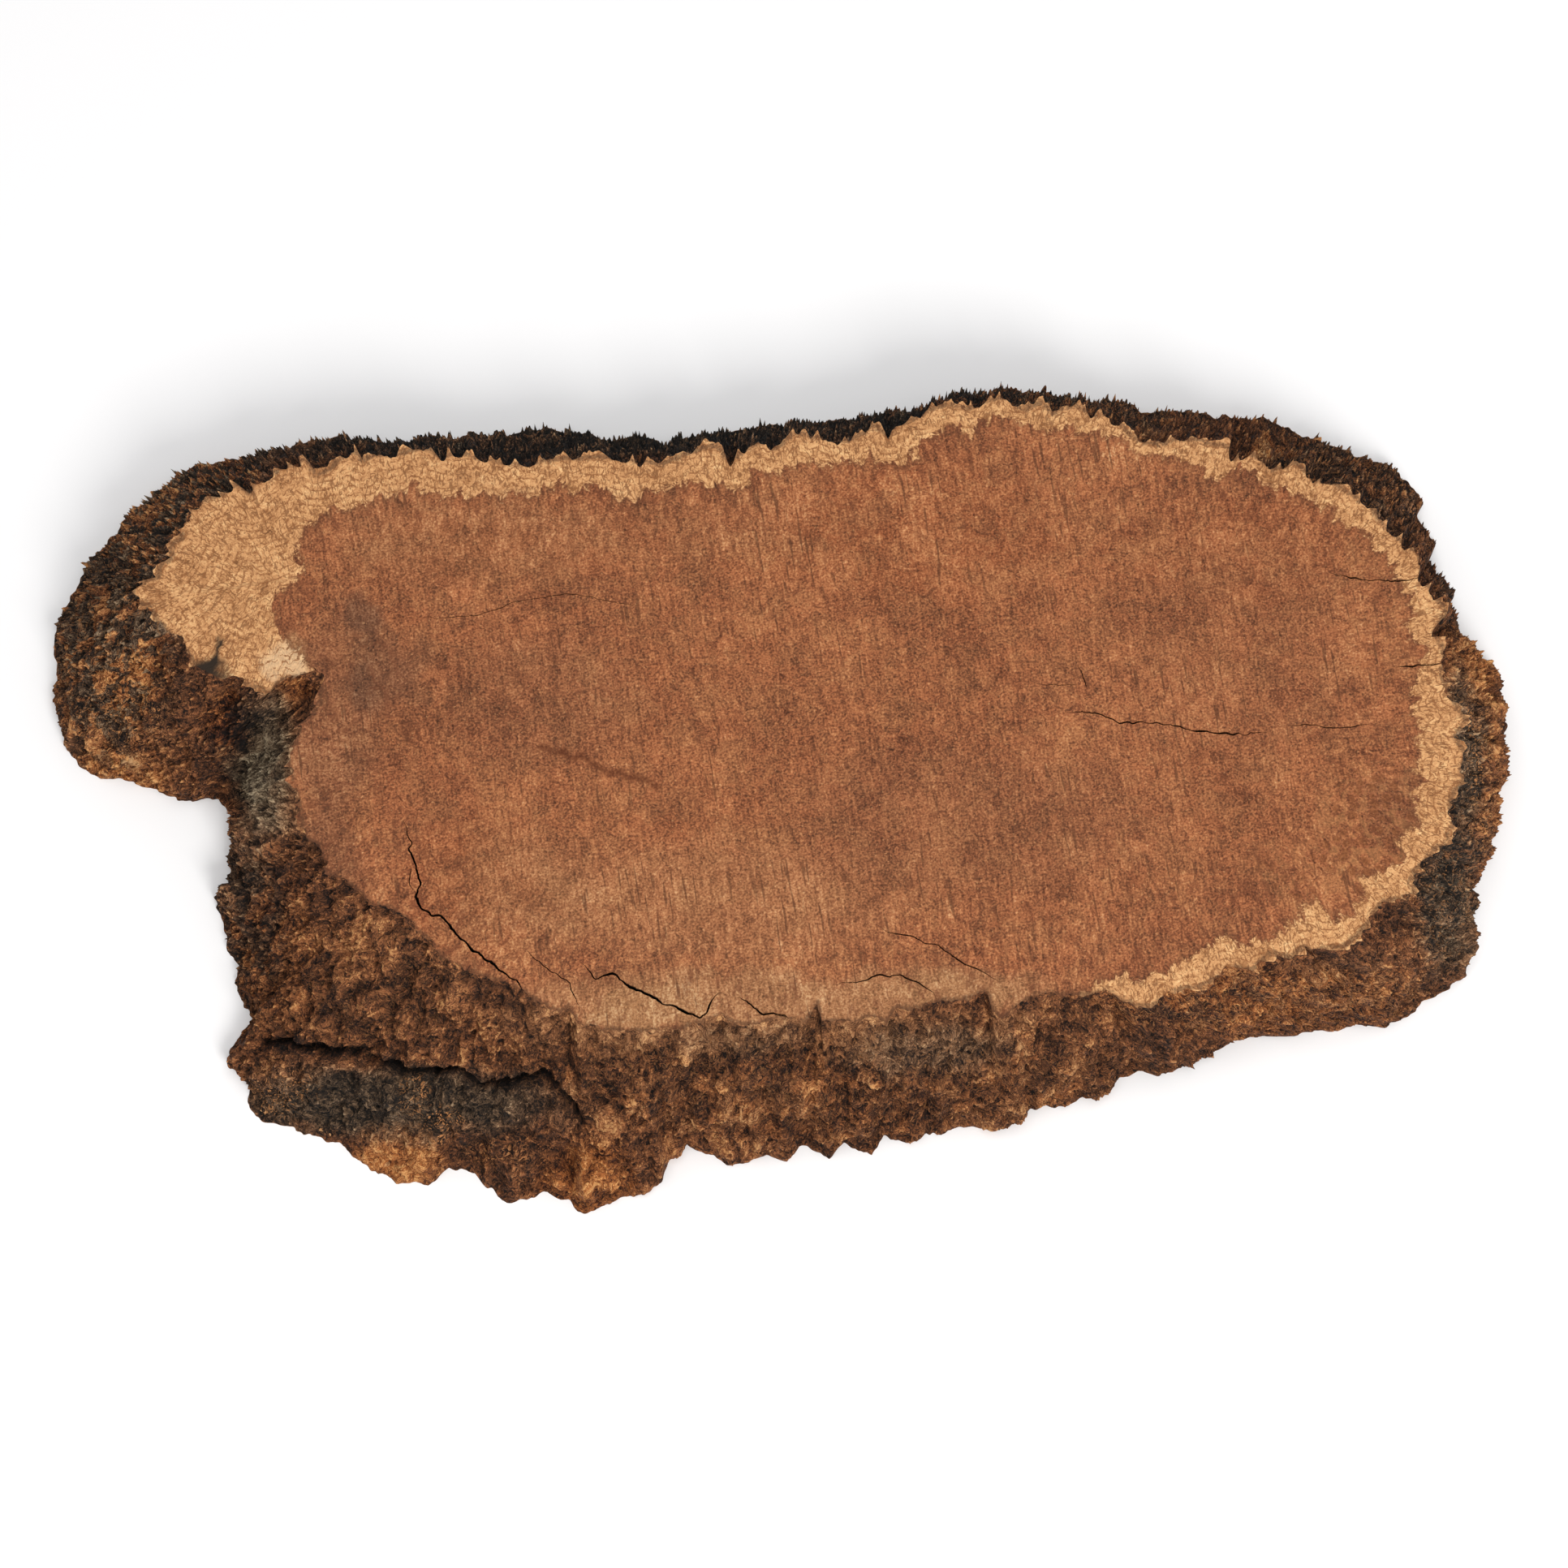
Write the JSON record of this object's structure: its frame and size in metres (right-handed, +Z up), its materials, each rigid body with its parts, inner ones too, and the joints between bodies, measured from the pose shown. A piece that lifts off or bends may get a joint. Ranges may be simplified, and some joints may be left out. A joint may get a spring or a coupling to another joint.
{
  "type": "mallee burl slice",
  "caption": "Thick slice sawn from a mallee burl: flat reddish heartwood face with a pale sapwood rim, cracked, ringed by rough spiny bark that slopes out to a wider flat foot.",
  "frame": {"origin": "on the ground under the middle of the slice's bounding box", "axes": "+X along the slice, from its lobed end with the notch to its round end; +Y across it, away from the wide low flank; +Z up, out of the smaller sawn face"},
  "size_m": [0.4967, 0.2903, 0.045],
  "materials": {
    "burl_wood": "sawn, unsealed"
  },
  "bodies": {
    "root": {"burl_slice": "burl_wood"}
  },
  "joints": []
}
